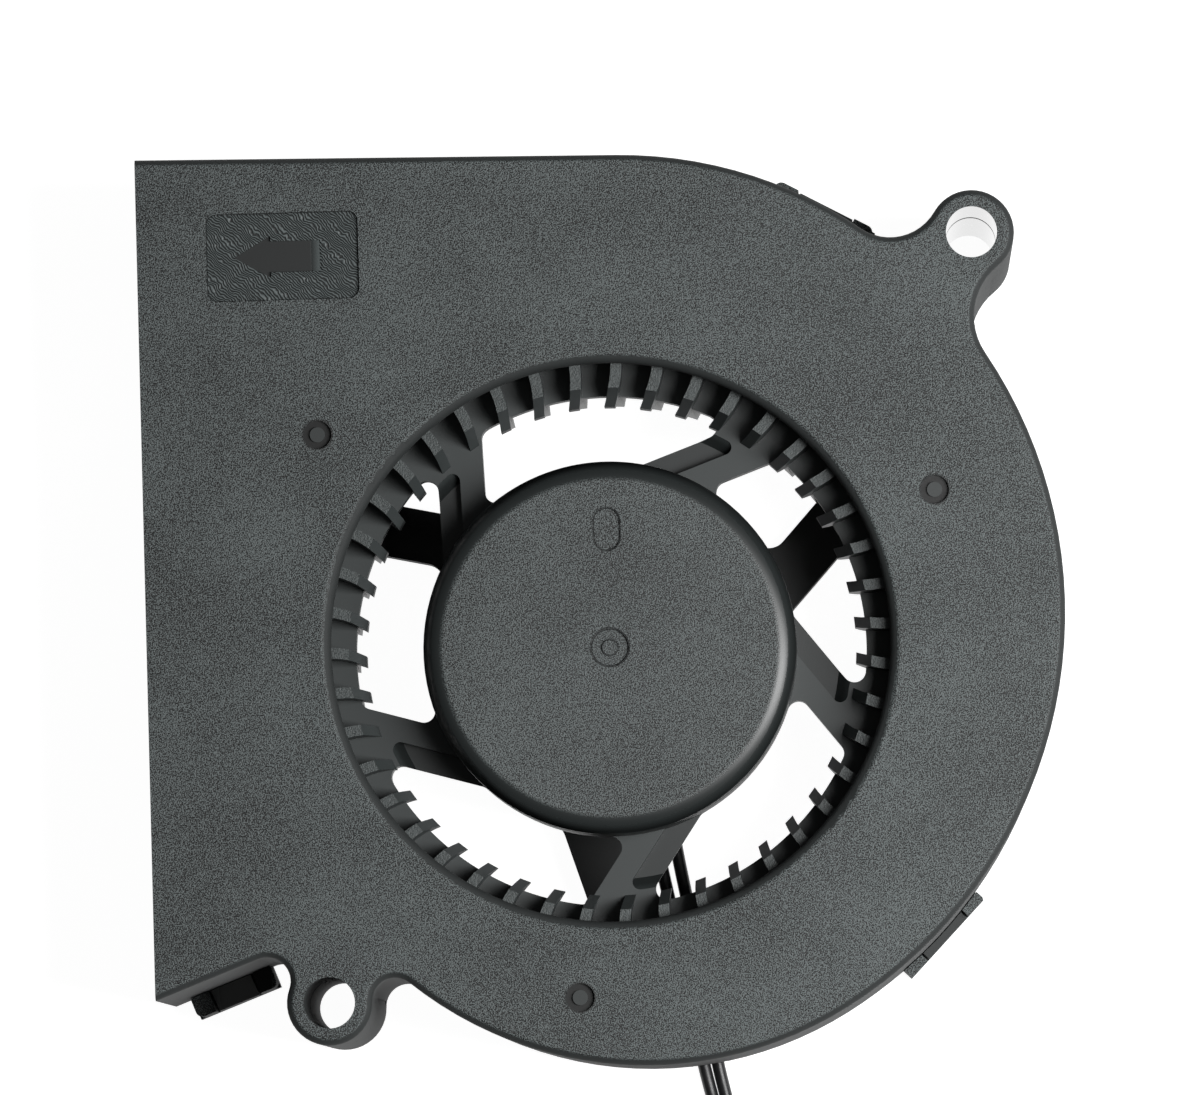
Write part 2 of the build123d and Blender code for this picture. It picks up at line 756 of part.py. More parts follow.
# Stator
def make_tube():
    """Brass bearing tube, with a seat for each bearing and a rib between them."""
    tube = disc(tube_radius, tube_low, tube_top)
    tube -= disc(bearing_outer, tube_low - 1, tube_top + 1)
    rib_low = rear_bearing_z + bearing_width + push_gap
    rib_top = front_bearing_z - push_gap
    return tube + ring(tube_radius, bearing_outer - 0.8, rib_low, rib_top)


def make_bearing_cap():
    """Plug that closes the bearing tube's hole at the rear face."""
    cap = disc(tube_radius, 0, cap_thickness)
    return cap


def pole_faces(tip_radius, arm, hub, tips):
    """Plan of a stator lamination with its arms and pole tips."""
    plan = Circle(hub)
    for index in range(pole_count):
        turn = Rot(0, 0, 45 + index * 360 / pole_count)
        plan += turn * (Pos(tip_radius / 2, 0) * Rectangle(tip_radius - tips, arm))
    shoe = Circle(tip_radius) - Circle(tip_radius - tips)
    for index in range(pole_count):
        turn = Rot(0, 0, index * 360 / pole_count)
        gap = tip_radius * math.sin(math.radians(pole_gap / 2))
        shoe -= turn * (Pos(tip_radius, 0) * Rectangle(2 * tip_radius, 2 * gap))
    for index in range(pole_count):
        turn = Rot(0, 0, 45 + index * 360 / pole_count)
        plan += turn * (Pos(tip_radius - tips, 0) * Rectangle(tips, arm))
    plan = plan & Circle(tip_radius - tips / 2)
    return plan + shoe - Circle(tube_radius + push_gap)


def make_core():
    """Laminated stator core with four poles."""
    return prism(pole_faces(core_radius, arm_width, core_hub, pole_tip), core_low, core_top)


def make_insulator(low, high):
    """Plastic end piece that keeps the windings off the core."""
    return prism(pole_faces(core_radius - 0.3, arm_width + 0.6, core_hub + 0.5, pole_tip), low, high)


def make_winding(index):
    """Copper winding round one arm."""
    inner_length = arm_width + 0.6 + 0.2
    start = core_hub + 1.1
    end = core_radius - pole_tip - 1.0
    low = core_low - insulator_thickness - 0.1
    high = core_top + insulator_thickness + 0.1
    block = Box(end - start, inner_length + 2 * coil_thickness, high - low + 2 * coil_thickness)
    block = fillet(block.edges().filter_by(Axis.X), coil_thickness * 0.8)
    block -= Box(end - start + 1, inner_length, high - low)
    place = Rot(0, 0, 45 + index * 360 / pole_count) * Pos((start + end) / 2, 0, (low + high) / 2)
    solid = place * block
    lane = Rot(0, 0, 45 + index * 360 / pole_count) * Pos(core_radius, 0) * Rectangle(
        2 * core_radius, 2 * core_radius)
    wedge = Polyline(
        (core_hub * 0.2, 0), (core_radius, core_radius - 1.6), (core_radius, 1.6 - core_radius), close=True)
    wedge = Rot(0, 0, 45 + index * 360 / pole_count) * make_face(wedge)
    return solid & prism(wedge & lane, low - 2 * coil_thickness, high + 2 * coil_thickness)


board_low = collar_top
board_top = collar_top + board_thickness
board_radius = base_radius - base_rim - board_play


def make_board():
    """Round circuit board on the collar of the motor base."""
    board = ring(board_radius, tube_radius + board_bore_play, board_low, board_top)
    for spot in pin_places():
        board -= at(spot) * disc(pin_radius + 0.05, board_low - 1, board_top + 1)
    return board


def pin_places():
    """Where the stator's terminal pins go through the board."""
    return [direction(angle) * pin_circle for angle in (0, 90, 180)]


def make_pins():
    """Terminal pins between the lower insulator and the board."""
    top = core_low - insulator_thickness
    pins = [at(spot) * disc(pin_radius, board_low - 0.6, top) for spot in pin_places()]
    return Compound(children=pins)


def make_hall_sensor():
    """Magnetic sensor standing on the board close under the magnet."""
    spot = direction(135) * (board_radius - 2.6)
    leg_height = 0.8
    body = Pos(0, 0, board_top + leg_height + 0.6) * Box(3.0, 1.6, 1.2)
    body = chamfer(body.edges().filter_by(Axis.Z), 0.3)
    for x in (-0.9, 0, 0.9):
        body += Pos(x, 0, board_top + leg_height / 2) * Box(0.35, 0.35, leg_height)
    return at(spot) * Rot(0, 0, 45) * body


def make_driver_chip():
    """Driver circuit in a flat package with four legs a side."""
    spot = direction(-90 + 155) * (board_radius - 4.4)
    body = Pos(0, 0, board_top + 0.85) * Box(4.9, 3.9, 1.4)
    body = chamfer(body.edges().filter_by(Axis.Z), 0.2)
    for side in (-1, 1):
        for index in range(4):
            x = (index - 1.5) * 1.27
            body += Pos(x, side * 2.35, board_top + 0.15) * Box(0.42, 1.2, 0.3)
            body += Pos(x, side * 2.1, board_top + 0.5) * Box(0.42, 0.3, 1.0)
    return at(spot) * Rot(0, 0, 65 + 90) * body


def chip_group(angles, radius, size):
    """Small blocks soldered to the board."""
    blocks = []
    for angle in angles:
        spot = direction(angle) * radius
        block = Pos(0, 0, board_top + size[2] / 2) * Box(*size)
        blocks.append(at(spot) * Rot(0, 0, angle) * block)
    return Compound(children=blocks)


def make_solder():
    """Solder joints where the lead wires meet the board."""
    joints = []
    for route in (wire_1_route, wire_2_route):
        spot = Pos(route[0][0], route[0][1] + 1.0, board_low)
        cone = Cone(0.9, 0.35, 0.7, align=(Align.CENTER, Align.CENTER, Align.MIN))
        joints.append(spot * Rot(180, 0, 0) * cone)
    return Compound(children=joints)


# Lead wires
def wire_tube(route, name):
    """Round wire along straight runs joined by arcs as large as the runs allow."""
    points = [Vector(*point) for point in route]
    radii = []
    for before, here, after in zip(points, points[1:], points[2:]):
        turn = math.radians((here - before).get_angle(after - here))
        shorter = min((here - before).length, (after - here).length)
        radii.append(0.45 * shorter / math.tan(turn / 2))
    print(name, "bend radii", [round(radius, 1) for radius in radii])
    path = FilletPolyline(*points, radius=radii)
    section = Plane(path @ 0, z_dir=path % 0) * Circle(wire_radius)
    tube = sweep(section, path=path)
    print(name, "volume over section times length", round(
        tube.volume / (math.pi * wire_radius**2 * path.length), 4))
    return tube


def coil_low(index):
    """Height of the underside of a lead's coil."""
    return coil_lift + index * coil_height


def make_coil(index):
    """Outer shape of one lead's turns."""
    section = Pos(coil_turn_radius, coil_low(index) + coil_height / 2) * RectangleRounded(
        coil_width, coil_height, wire_radius)
    return at(coil_centre) * revolve(Plane.XZ * section, Axis.Z)


def make_tie():
    """Strap round both coils."""
    stack = 2 * coil_height
    inner = RectangleRounded(coil_width + 2 * tie_play, stack, wire_radius)
    outer = RectangleRounded(
        coil_width + 2 * (tie_play + tie_thickness), stack + 2 * tie_thickness, wire_radius + tie_thickness)
    band = Pos(coil_turn_radius, coil_lift + coil_height) * (outer - inner)
    strap = extrude(Plane.XZ * band, tie_width / 2, both=True)
    return at(coil_centre) * Rot(0, 0, tie_angle) * strap


def make_plug():
    """Two-way connector housing with a latch and two open cavities."""
    length, width, height = plug_size
    body = Box(length, width, height)
    body = fillet(body.edges().filter_by(Axis.X), 0.6)
    body += Pos(-1.0, 0, (height + plug_latch[2]) / 2) * Box(*plug_latch)
    for side in (-1, 1):
        y = side * plug_pitch / 2
        body -= Pos((plug_cavity[0] - length) / 2, y, 0) * Box(*plug_cavity)
        body -= Pos(length / 2, y, 0) * Rot(0, 90, 0) * Cylinder(wire_radius + tie_play, length)
    return Pos(plug_back.X - length / 2, plug_back.Y, height / 2) * body


def make_contacts():
    """Box contacts inside the connector."""
    length, width, height = plug_size
    contacts = []
    for side in (-1, 1):
        y = plug_back.Y + side * plug_pitch / 2
        tube = Box(5.5, plug_cavity[1] - 0.1, plug_cavity[2] - 0.1)
        tube -= Pos(-1, 0, 0) * Box(4.6, plug_cavity[1] - 0.7, plug_cavity[2] - 0.7)
        contacts.append(Pos(plug_back.X - length + 4.6, y, height / 2) * tube)
    return Compound(children=contacts)


front_rings = bearing_parts(front_bearing_z)
rear_rings = bearing_parts(rear_bearing_z)
nodes = {
    "front_cover": make_front_cover(),
    "rear_housing": make_rear_housing(),
    "impeller": make_impeller(),
    "rotor_yoke": make_yoke(),
    "magnet_ring": make_magnet(),
    "shaft_bush": make_bush(),
    "shaft": make_shaft(),
    "retaining_clip": make_retaining_clip(),
    "preload_washer": make_washer(),
    "front_bearing_outer_ring": front_rings[0],
    "front_bearing_inner_ring": front_rings[1],
    "front_bearing_balls": front_rings[2],
    "rear_bearing_outer_ring": rear_rings[0],
    "rear_bearing_inner_ring": rear_rings[1],
    "rear_bearing_balls": rear_rings[2],
    "bearing_tube": make_tube(),
    "bearing_cap": make_bearing_cap(),
    "stator_core": make_core(),
    "lower_insulator": make_insulator(core_low - insulator_thickness, core_low),
    "upper_insulator": make_insulator(core_top, core_top + insulator_thickness),
    "terminal_pins": make_pins(),
    "circuit_board": make_board(),
    "hall_sensor": make_hall_sensor(),
    "driver_chip": make_driver_chip(),
    "capacitors": chip_group((10, 100), board_radius - 4, (2.0, 1.25, 1.1)),
    "resistors": chip_group((160, 185, 210, 235), board_radius - 4.5, (1.6, 0.8, 0.45)),
    "solder_joints": make_solder(),
    "lead_wire_1": wire_tube(wire_1_route, "lead_wire_1"),
    "lead_wire_2": wire_tube(wire_2_route, "lead_wire_2"),
    "lead_coil_1": make_coil(0),
    "lead_coil_2": make_coil(1),
    "lead_tail_1": wire_tube(tail_1_route, "lead_tail_1"),
    "lead_tail_2": wire_tube(tail_2_route, "lead_tail_2"),
    "lead_tie": make_tie(),
    "connector_housing": make_plug(),
    "connector_contacts": make_contacts(),
}
for index in range(pole_count):
    nodes["winding_" + str(index + 1)] = make_winding(index)

for name, shape in nodes.items():
    export_step(shape, "parts/" + name + ".step")
print(len(nodes), "nodes written")
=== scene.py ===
# %% [markdown]
# # A flat blower fan in Blender
#
# This lesson dresses the measured model of a small centrifugal blower: a dark moulded
# casing shaped like a snail shell, a bladed wheel that spins on its own hidden motor, and
# two thin wires. The measured model arrives as a fixed frame. Nothing in it is moved, so
# every new piece is written straight into the same coordinates, in metres.

# %% Load the measured model
import bpy
import json
import math
from functools import partial
from mathutils import Matrix, Vector


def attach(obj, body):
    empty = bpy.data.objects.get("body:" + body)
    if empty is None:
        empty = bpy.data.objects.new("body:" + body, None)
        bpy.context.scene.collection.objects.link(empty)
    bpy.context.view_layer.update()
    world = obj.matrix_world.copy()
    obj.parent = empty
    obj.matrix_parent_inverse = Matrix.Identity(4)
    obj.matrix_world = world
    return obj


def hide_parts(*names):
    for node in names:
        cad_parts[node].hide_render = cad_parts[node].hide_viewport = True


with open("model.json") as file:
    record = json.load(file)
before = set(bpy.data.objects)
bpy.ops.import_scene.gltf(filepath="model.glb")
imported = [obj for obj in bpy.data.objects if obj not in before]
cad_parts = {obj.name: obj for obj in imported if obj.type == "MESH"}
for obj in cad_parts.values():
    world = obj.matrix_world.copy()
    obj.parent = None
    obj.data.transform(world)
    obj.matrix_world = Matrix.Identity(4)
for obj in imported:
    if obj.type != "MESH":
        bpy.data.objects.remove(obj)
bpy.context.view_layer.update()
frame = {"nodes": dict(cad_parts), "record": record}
MM = 0.001

# %% [markdown]
# ## The camera
#
# The blower is looked at from straight above and from far away, with only a few degrees
# of tilt. A long lens does this: the wheel sits deeper than the cover, and the small
# parallax between the two levels shows how far off the eye is. The three axes of the
# camera are written as a rotation matrix, because they were worked out together.

# %% Place the camera
def put_in_scene(name, data):
    """An object that holds this mesh, curve, lamp or camera, linked to the scene."""
    thing = bpy.data.objects.new(name, data)
    bpy.context.scene.collection.objects.link(thing)
    return thing


eye = Vector((24.7776, -57.7919, 1100.0)) * MM
to_right = Vector((0.99928121, -0.02791245, -0.02565082))
to_top = Vector((0.02948549, 0.99756875, 0.06314427))
forward = Vector((-0.02382595, 0.06385521, -0.99767471))

lens = bpy.data.cameras.new("long lens")
lens.sensor_width = 36.0
lens.lens = 304.5436
lens.clip_start = 0.05
lens.clip_end = 10.0
camera = put_in_scene("long lens", lens)
turn = Matrix((to_right, to_top, -forward)).transposed()
camera.matrix_world = Matrix.Translation(eye) @ turn.to_4x4()
bpy.context.scene.camera = camera
print("camera looks along", [round(x, 3) for x in forward])

# %% [markdown]
# ## The two lead wires
#
# A fan like this is sold with two thin wires that run under the casing in a groove and
# end in a small plug. Each wire is one smooth curve. Its control points lie along the
# groove, then wind five times round a coil, then reach the plug. A turn of the coil has
# twenty-four points, pushed out a little because the curve cuts inside them.
#
# The first two turns lie on the lower layer and wind inwards. The third rises to the
# upper layer, and the last two wind out again. A turn changes place only on a short
# stretch of its own, each at an earlier angle than the last, so that the wires never
# cross through each other.

# %% Wind a coil as a list of points
COIL_CENTRE = (4.3, -61.4)
TURN_RADII = (8.8, 7.4, 6.0, 6.0, 7.4, 8.8)
TURNS = 5
RISING_TURN = 2
LAYER_HEIGHT = 1.4
POINTS_PER_TURN = 24
CHANGE_AT = 300
CHANGE_EARLIER = 50
CHANGE_LENGTH = 60


def eased(x):
    """0 to 1 with a soft start and a soft end."""
    x = min(max(x, 0.0), 1.0)
    return x * x * (3 - 2 * x)


def coil_points(start_angle, end_angle, low):
    """Points of all the turns, in millimetres, from the lower layer to the upper one."""
    total = start_angle - end_angle + 360 * TURNS
    steps = round(total / 360 * POINTS_PER_TURN)
    spread = 1 / math.cos(math.pi / POINTS_PER_TURN)
    points = []
    for step in range(steps + 1):
        wound = total * step / steps
        turn_number = min(int(wound // 360), TURNS - 1)
        change_at = CHANGE_AT - CHANGE_EARLIER * turn_number
        moved = eased((wound - 360 * turn_number - change_at) / CHANGE_LENGTH)
        before, after = TURN_RADII[turn_number:turn_number + 2]
        radius = spread * (before + moved * (after - before))
        level = moved if turn_number == RISING_TURN else float(turn_number > RISING_TURN)
        angle = math.radians(start_angle - wound)
        points.append((
            COIL_CENTRE[0] + radius * math.cos(angle),
            COIL_CENTRE[1] + radius * math.sin(angle),
            low + LAYER_HEIGHT * level,
        ))
    return points


groove_1 = [
    (5.2, -14.2, 3.3), (5.65, -18.6, 3.2), (6.3, -22.6, 2.1), (7.1, -27.0, 1.0),
    (7.85, -32.0, 0.85), (8.75, -37.6, 0.86), (9.62, -43.4, 0.85), (10.85, -48.8, 0.8),
    (12.27, -56.23, 1.1),
]
groove_2 = [
    (3.2, -14.4, 3.3), (3.65, -18.8, 3.2), (4.35, -22.8, 2.1), (5.25, -27.2, 1.0),
    (6.05, -32.1, 0.85), (7.1, -37.7, 0.86), (8.12, -43.5, 0.85), (9.42, -49.0, 0.8),
    (10.45, -52.0, 2.3), (11.52, -55.22, 3.95),
]
tail_1 = [(0.72, -70.2, 2.5), (-3.9, -70.05, 2.6), (-8.5, -69.5, 2.85), (-12.9, -69.35, 2.9)]
tail_2 = [(0.72, -70.2, 5.3), (-3.7, -70.6, 4.7), (-8.4, -71.84, 2.93), (-12.9, -71.85, 2.9)]
route_1 = groove_1 + coil_points(start_angle=10.8, end_angle=-90, low=1.1) + tail_1
route_2 = groove_2 + coil_points(start_angle=18.4, end_angle=-90, low=3.9) + tail_2
print("control points:", len(route_1), "and", len(route_2))

# %% [markdown]
# A quadratic NURBS curve passes near its points without going through them, which is how
# a soft wire bends. The bare line comes first, and its short pieces add up to the length.
# Then it gets its round section. The points carry the wire's radius and the bevel is a
# plain one, because Blender measures a curve's box with the radii of its points.

# %% Draw a wire along its points
WIRE = 1.4 * MM


def plain_mesh(thing):
    """A mesh of an object as it shows, with its curve or modifiers worked out."""
    shown = thing.evaluated_get(bpy.context.evaluated_depsgraph_get())
    return bpy.data.meshes.new_from_object(shown)


def draw_wire(name, route):
    """One NURBS curve with a round section, and its length in metres."""
    curve = bpy.data.curves.new(name, "CURVE")
    curve.dimensions = "3D"
    line = curve.splines.new("NURBS")
    line.points.add(len(route) - 1)
    for point, place in zip(line.points, route):
        point.co = (place[0] * MM, place[1] * MM, place[2] * MM, 1.0)
        point.radius = WIRE / 2
    line.order_u = 3
    line.use_endpoint_u = True
    line.resolution_u = 6
    wire = put_in_scene(name, curve)
    bare = plain_mesh(wire)
    places = [corner.co.copy() for corner in bare.vertices]
    length = sum((b - a).length for a, b in zip(places, places[1:]))
    bpy.data.meshes.remove(bare)
    curve.bevel_depth = 1.0
    curve.bevel_resolution = 5
    curve.use_fill_caps = True
    print(name, "length", round(length, 4), "m")
    return wire, length


wire_1, wire_1_length = draw_wire("lead_wire_first", route_1)
wire_2, wire_2_length = draw_wire("lead_wire_second", route_2)

# %% [markdown]
# Each wire is declared as a cord, so that its length and bends are measured at the end.
# The plug and the strap that holds the coil belong to it.

for wire, length, route, solids, carried in (
    (wire_1, wire_1_length, groove_1, ("lead_wire_1", "lead_coil_1", "lead_tail_1"),
     ["connector_housing", "lead_tie"]),
    (wire_2, wire_2_length, groove_2, ("lead_wire_2", "lead_coil_2", "lead_tail_2"),
     ["connector_contacts"]),
):
    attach(wire, "housing")
    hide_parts(*solids)
    [x * MM for x in route[0]]
    print(wire.name, "carries", carried)

# %% [markdown]
# ## Shader sums that read like sums
#
# A shader is a small machine of boxes and wires. Python can write it as ordinary sums:
# a Signal holds one socket, and adding or multiplying two signals adds the right box.
# Every box comes from one function, which sets the box's own switches first and then
# what feeds it. A tree of Geometry Nodes has the same boxes, so signals work there too.

# %% Signals
def feed(tree, socket, value):
    """Link a signal into a socket, or set a plain value on it."""
    if isinstance(value, Signal):
        tree.links.new(value.socket, socket)
    else:
        socket.default_value = value


def add_node(tree, kind, settings=None, inputs=None, output=0):
    """Add a node, with its settings before its inputs, and return one of its outputs."""
    node = tree.nodes.new(kind)
    for name, value in (settings or {}).items():
        if name == "stops":
            for element, (position, colour) in zip(node.color_ramp.elements, value):
                element.position = position
                element.color = colour
        else:
            setattr(node, name, value)
    for name, value in (inputs or {}).items():
        feed(tree, node.inputs[name], value)
    return Signal(tree, node.outputs[output])


class Signal:
    """A number, colour or direction on its way through a tree of nodes."""

    def __init__(self, tree, socket):
        self.tree = tree
        self.socket = socket

    def maths(self, operation, *values):
        """What one Math node makes of these values."""
        sockets = dict(enumerate(values))
        return add_node(self.tree, "ShaderNodeMath", {"operation": operation}, sockets)

    def __add__(self, other):
        return self.maths("ADD", self, other)

    __radd__ = __add__

    def __mul__(self, other):
        return self.maths("MULTIPLY", self, other)

    __rmul__ = __mul__

    def __sub__(self, other):
        return self.maths("SUBTRACT", self, other)

    def __rsub__(self, other):
        return self.maths("SUBTRACT", other, self)

    def __abs__(self):
        return self.maths("ABSOLUTE", self)

    def root(self):
        """The square root."""
        return self.maths("SQRT", self)

    def at_least(self, floor):
        """Never less than the floor."""
        return self.maths("MAXIMUM", self, floor)

    def at_most(self, ceiling):
        """Never more than the ceiling."""
        return self.maths("MINIMUM", self, ceiling)

    def above(self, level):
        """1 above a level and 0 below it."""
        return self.maths("GREATER_THAN", self, level)

    def below(self, level):
        """1 below a level and 0 above it."""
        return self.maths("LESS_THAN", self, level)

    def between(self, low, high):
        """0 below the low value, 1 above the high one, and a slope between them."""
        ends = {"Value": self, "From Min": low, "From Max": high}
        return add_node(self.tree, "ShaderNodeMapRange", {}, ends)


# %% [markdown]
# A finish is one material. Its patterns read Object coordinates, which here are the
# coordinates of the blower itself, so that a pattern has its real size and runs on from
# one piece to the next. The methods are short names for the few nodes that come back.

# %% Finishes
class Finish:
    """One material, built node by node."""

    def __init__(self, name):
        self.material = bpy.data.materials.new(name)
        self.material.use_nodes = True
        self.tree = self.material.node_tree
        self.shader = self.tree.nodes["Principled BSDF"]
        self.place = self.add("ShaderNodeTexCoord", output="Object")

    def add(self, kind, settings=None, inputs=None, output=0):
        return add_node(self.tree, kind, settings, inputs, output)

    def split(self, signal):
        """The three parts of a direction or a place."""
        axes = self.add("ShaderNodeSeparateXYZ", {}, {0: signal}).socket.node
        return [Signal(self.tree, part) for part in axes.outputs]

    def noise(self, scale, detail, roughness=0.5):
        return self.add("ShaderNodeTexNoise", {}, {
            "Vector": self.place, "Scale": scale, "Detail": detail, "Roughness": roughness}, "Fac")

    def ramp(self, signal, low, high):
        """Colours from a low stop to a high one, each a place on the signal and a colour."""
        return self.add("ShaderNodeValToRGB", {"stops": (low, high)}, {"Fac": signal}, "Color")

    def blend(self, share, first, second):
        """The first colour where the share is 0, and the second where it is 1."""
        return self.add("ShaderNodeMix", {"data_type": "RGBA"}, {0: share, 6: first, 7: second}, 2)

    def bump(self, height, distance):
        heights = {"Height": height, "Distance": distance, "Strength": 1.0}
        return self.add("ShaderNodeBump", {}, heights, "Normal")

    def set(self, **values):
        """Feed the shader and return the material."""
        for name, value in values.items():
            feed(self.tree, self.shader.inputs[name.replace("_", " ")], value)
        return self.material


# %% [markdown]
# ## Spark-eroded plastic
#
# The mould for such a casing is eroded by sparks, which leaves tiny round pits, about an
# eighth of a millimetre across. The plastic copies them. Noise of that size drives a
# bump, some of the colour and the roughness. In the colour, the pits are painted dark
# with shade and their rims painted light with glints. A slower noise adds faint clouds,
# so that a wide face isn't all one tone.
#
# A flat face is painted pale with the glints of its pits. Rounded edges and upright
# walls have no pits, and their dark colour is painted shade, where the surface turns
# away from the light. The upward part of the surface's direction tells the two apart.

# %% Casing and wheel plastic
PIT_SCALE = 7400
CLOUD_SCALE = 60
CLOUD_SHARE = 0.15
# Stops of the pit colour: the dark one is painted shade in the pits, the light one painted glints
# on their rims.
PIT_SHADE = (0.43, 0.03)
PIT_GLINT = (0.58, 2.1)
PIT_GLOSS = 0.3
ROUNDED_EDGE = 0.9
FLAT_FACE = 0.985


def grey(value):
    """A grey with the faint blue-green of the dark moulding compound."""
    return (value * 0.86, value, value, 1.0)


def eroded_plastic(name, tone, roughness, edge_shade, wall):
    """A dark moulding, pitted where it is flat and painted with shade where it bends away; returns
    the finish unset.
    """
    finish = Finish(name)
    pits = finish.noise(PIT_SCALE, detail=1.0)
    clouds = finish.noise(CLOUD_SCALE, detail=3.0, roughness=0.6)
    shade = pits * (1 - CLOUD_SHARE) + clouds * CLOUD_SHARE
    stops = [(stop, grey(tone * share)) for stop, share in (PIT_SHADE, PIT_GLINT)]
    pitted = finish.ramp(shade, *stops)
    facing = finish.add("ShaderNodeTexCoord", output="Normal")
    finish.flat = abs(finish.split(facing)[2]).between(ROUNDED_EDGE, FLAT_FACE)
    # Painted shade: rounded edges and walls get a darker share of the tone.
    finish.colour = finish.blend(finish.flat, grey(tone * edge_shade), pitted)
    finish.rough = finish.flat * ((pits - 0.5) * PIT_GLOSS + (roughness - wall)) + wall
    finish.skin = pits * finish.flat
    return finish


# %% [markdown]
# A moulded mark has a soft edge, and a thin dark line of painted shade stands for the
# shade along it. The line is a set of places: those whose distance from a rounded box is
# nearly nothing. A box with no size and a round corner is a circle, so one function draws
# the rings, the oval and the panel. The line is full within about a third of its width
# and gone at two thirds.

# %% Thin outlines of painted shade
LINE_FULL = 0.35
LINE_GONE = 0.65


def outline(finish, middle, half, corner, width):
    """1 on the outline of a rounded box seen from above, and 0 away from it, in mm."""
    square = 0.0
    for along, centre, reach in zip(finish.split(finish.place), middle, half):
        past = (abs(along - centre * MM) - (reach - corner) * MM).at_least(0.0)
        square = past * past + square
    gap = abs(square.root() - corner * MM)
    return 1 - gap.between(width * LINE_FULL * MM, width * LINE_GONE * MM)


def ring(finish, middle, radius, width):
    """An outline that is a circle."""
    return outline(finish, middle, (radius, radius), radius, width)


# %% [markdown]
# ## The wheel's plastic
#
# The rim of the hub is rounded more generously than the eye expects. Two millimetres
# before the edge the face begins to bend, and from there it's smooth, and its dark colour
# is painted shade. A height that falls with the square of the distance past that ring
# makes the bump bend it.
#
# The web that joins the spokes was polished in the mould, so it has no pits; its darker
# colour is painted shade, as it lies deep between the blades. The sunk floors of the
# spokes are painted darker still with shade, and the blades are plainer than the hub.
# Height and distance from the axis tell them apart, so the whole wheel needs one material.

# %% Where the parts of the wheel are
RIM_START = 17.6 * MM
RIM_ROUND = 2.0 * MM
RIM_BLEND = 0.5 * MM
HUB_EDGE = 20.5 * MM
BLADES_START = 22 * MM
HUB_FACE = (29 * MM, 30 * MM)
WEB_FACE = (25.2 * MM, 25.6 * MM)
RECESS_FLOOR = (24.3 * MM, 24.8 * MM)
BUMP_UNIT = 0.06 * MM

wheel = eroded_plastic("wheel plastic", tone=0.053, roughness=0.5, edge_shade=0.42, wall=0.42)
across, along, high = wheel.split(wheel.place)
from_axis = (across * across + along * along).root()
hub_face = high.between(*HUB_FACE)
on_hub = from_axis.below(HUB_EDGE) * hub_face
on_blades = from_axis.above(BLADES_START)
on_web = 1 - high.between(*WEB_FACE)
in_recess = 1 - high.between(*RECESS_FLOOR)
marks = ring(wheel, (0, 0), radius=2.0, width=0.2) + ring(wheel, (0, 0), radius=0.85, width=0.14)
marks = marks + outline(wheel, (0, 12.5), half=(1.4, 2.25), corner=1.4, width=0.16)
marks = marks.at_most(1.0) * hub_face

# %% Wheel plastic with the hub's soft rim
RIM_SHADE_TONE, RIM_ROUGHNESS = 0.022, 0.36
MARK_SHADE_TONE, MARK_SHADE_SHARE, MARK_DEPTH = 0.004, 0.75, 1.5
BLADE_TONE, BLADE_SHARE = 0.056, 0.7
WEB_SHADE_TONE, RECESS_SHADE_TONE = 0.036, 0.02

past_start = (from_axis - RIM_START).at_least(0.0) * on_hub
dip = past_start * past_start * (0.5 / (RIM_ROUND * BUMP_UNIT))
face = 1 - past_start.between(0.0, RIM_BLEND) * on_hub
# Painted shade: the rounded rim of the hub is coloured dark.
tint = wheel.blend(face, grey(RIM_SHADE_TONE), wheel.colour)
# Painted shade: thin dark lines along the edges of the hub's marks.
tint = wheel.blend(marks * MARK_SHADE_SHARE, tint, grey(MARK_SHADE_TONE))
tint = wheel.blend(on_blades * BLADE_SHARE, tint, grey(BLADE_TONE))
# Painted shade: the web is coloured darker, and the sunk floors of the spokes darker still.
tint = wheel.blend(on_web, tint, grey(WEB_SHADE_TONE))
tint = wheel.blend(in_recess, tint, grey(RECESS_SHADE_TONE))
height = wheel.skin * face * (1 - on_web) - dip - marks * MARK_DEPTH
wheel_plastic = wheel.set(
    Base_Color=tint, Roughness=wheel.rough * face + (1 - face) * RIM_ROUGHNESS,
    Normal=wheel.bump(height, BUMP_UNIT))
print(wheel_plastic.name, "has", len(wheel.tree.nodes), "nodes")

# %% [markdown]
# ## The casing's plastic
#
# The shallow panel in the corner has a different skin: close, wavy lines like those on a
# fingertip. They come from waves that a slow noise bends. A mask says where the panel is,
# and the mask chooses between pits and waves, so the casing still has one material.
#
# The sunk arrow, the three dimples and the lower clip were never eroded. More masks make
# them smooth and paint them with light and shade: the arrow's floor, the dimples' sunk
# rings and the clip are dark with painted shade, and the arrow's sloped end is painted
# light. Another makes the bore of the upper ear shiny, down to the seam between the two
# shells: seen so steeply, it mirrors the white table. The struts behind the wheel are
# smooth as well and lie in its shade, which is painted into their dark colour.

# %% Where the casing's marks are
PANEL = ((-41.9, 37.2, 32.62), (-24.9, 47.4, 32.97))
ARROW = ((-39.0, 39.6, 32.3), (-28.9, 45.0, 32.62))
SHADED_CLIP = ((-43.7, -36.9, 0.0), (-38.0, -31.8, 7.3))
UPPER_BORE = ((36.6, 39.9, 0.05), (42.2, 45.5, 32.95))
BORE_SEAM = 20.4 * MM
SEAM_HALF = (0.3 * MM, 0.6 * MM)
DIMPLES = ((-30.2, 23.3), (34.7, 15.6), (-4.1, -36.8))
DIMPLE_RADIUS = 1.5
DIMPLE_REACH = 1.6
DIMPLE_LEVELS = (32.3, 32.97)
STRUT_REACH = 29 * MM
STRUT_TOP = 10 * MM


